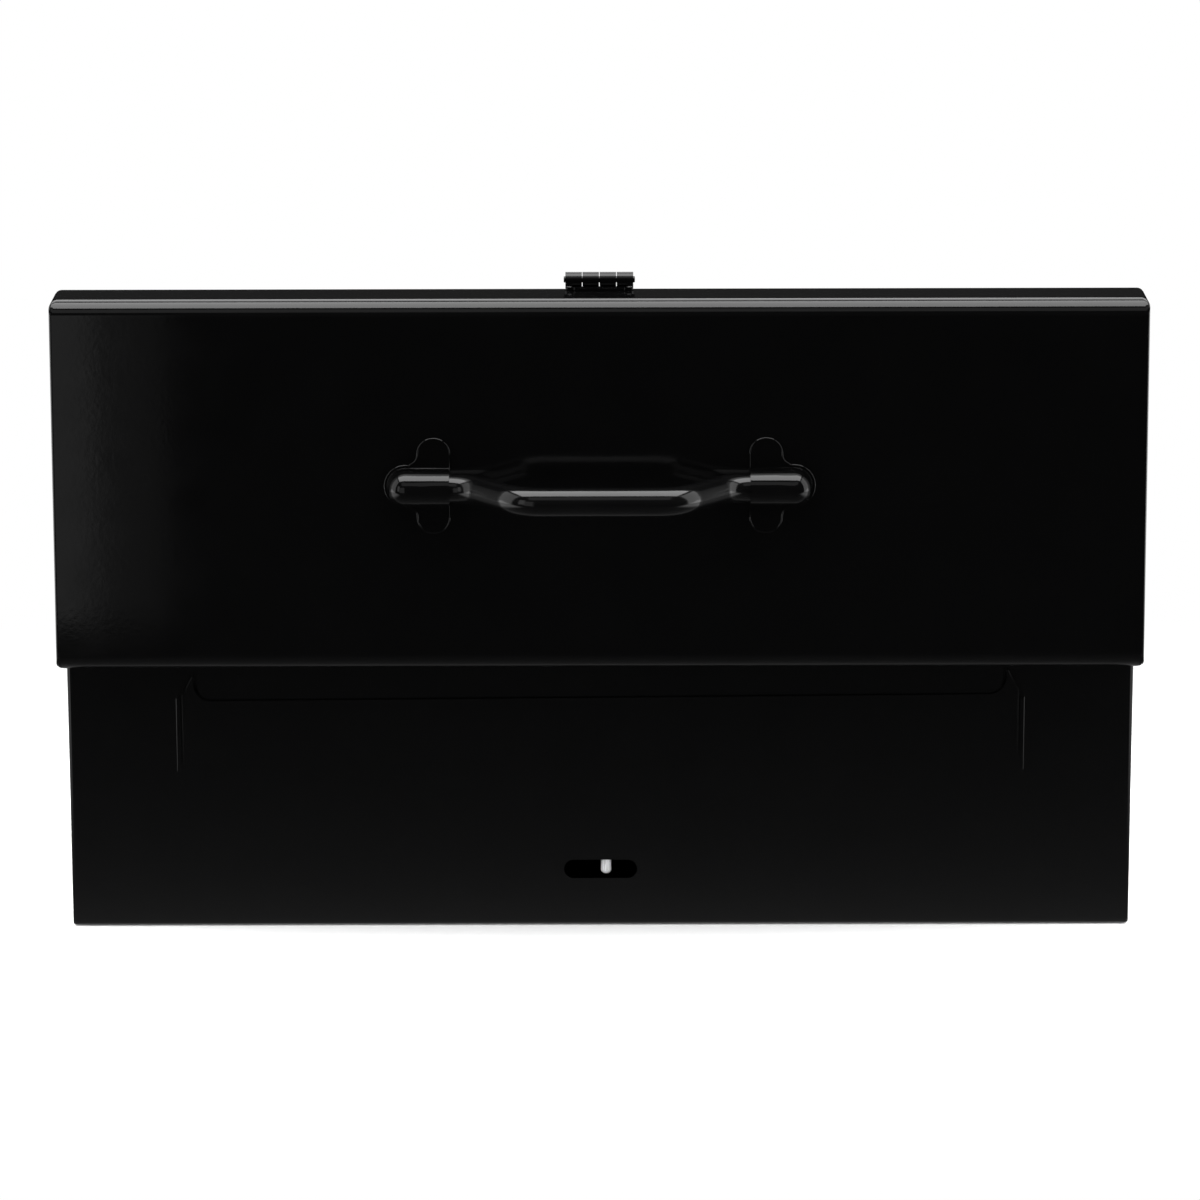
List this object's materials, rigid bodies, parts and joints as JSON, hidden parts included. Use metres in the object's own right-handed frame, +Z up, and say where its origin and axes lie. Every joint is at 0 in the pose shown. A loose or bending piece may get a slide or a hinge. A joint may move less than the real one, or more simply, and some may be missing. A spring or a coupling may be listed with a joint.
{
  "type": "toolbox with tray",
  "caption": "Pressed-steel hand toolbox: lid on a continuous rear hinge, folding carry handle, front hasp with padlock ring, and a lift-out tray with a strap handle.",
  "frame": {"origin": "centre of the flat underside of the body, at the mount base", "axes": "+X along the box's length, +Y towards the hasp side, +Z up; the hinge side faces -Y"},
  "size_m": [0.4854, 0.2462, 0.3047],
  "materials": {
    "black_enamel": "gloss stoved enamel on sheet steel",
    "inner_black": "satin enamel",
    "zinc_plate": "bright zinc plate",
    "handle_black": "gloss enamel on steel tube"
  },
  "bodies": {
    "body": {"body_shell": "black_enamel", "end_panel_right": "black_enamel", "end_panel_left": "black_enamel", "hinge_plate": "black_enamel", "body_hinge_leaf": "black_enamel", "hinge_pin": "zinc_plate", "tray_ledge_right": "inner_black", "tray_ledge_left": "inner_black", "security_rod": "zinc_plate", "rod_bracket": "inner_black", "staple_bracket": "black_enamel", "staple_rivet_left": "zinc_plate", "staple_rivet_right": "zinc_plate"},
    "lid": {"lid_shell": "black_enamel", "lid_end_right": "black_enamel", "lid_end_left": "black_enamel", "lid_hinge_leaf": "black_enamel", "handle_clip_right": "black_enamel", "handle_clip_left": "black_enamel", "hasp_fixed_leaf": "black_enamel", "hasp_pin": "black_enamel", "hasp_rivet_left": "black_enamel", "hasp_rivet_right": "black_enamel"},
    "handle": {"carry_handle": "handle_black"},
    "hasp": {"hasp_leaf": "black_enamel"},
    "ring": {"staple_ring": "zinc_plate"},
    "tray": {"tray_pan": "black_enamel", "tray_end_right": "black_enamel", "tray_end_left": "black_enamel", "tray_handle": "black_enamel", "tray_rivet_rear_1": "zinc_plate", "tray_rivet_rear_2": "zinc_plate", "tray_rivet_front_1": "zinc_plate", "tray_rivet_front_2": "zinc_plate"}
  },
  "joints": [
    {"name": "lid_hinge", "type": "hinge", "parent": "body", "child": "lid", "pos_m": [0, -0.086, 0.1278], "axis": [1, 0, 0], "range_deg": [-87.3, 0]},
    {"name": "handle_pivot", "type": "hinge", "parent": "lid", "child": "handle", "pos_m": [0, -0.12317, 0.21645], "axis": [1, 0, 0], "range_deg": [-89, 89]},
    {"name": "hasp_hinge", "type": "hinge", "parent": "lid", "child": "hasp", "pos_m": [0, -0.07902, 0.30136], "axis": [1, 0, 0], "range_deg": [0, 87.3]},
    {"name": "ring_pivot", "type": "hinge", "parent": "body", "child": "ring", "pos_m": [0, 0.08325, 0.112], "axis": [1, 0, 0], "range_deg": [0, 90]},
    {"name": "tray_lift", "type": "slide", "parent": "body", "child": "tray", "axis": [0, 0, 1], "range_m": [0, 0.12]}
  ],
  "couplings": [
    {"joint": "hasp_hinge", "follows": "lid_hinge", "ratio": -1}
  ]
}
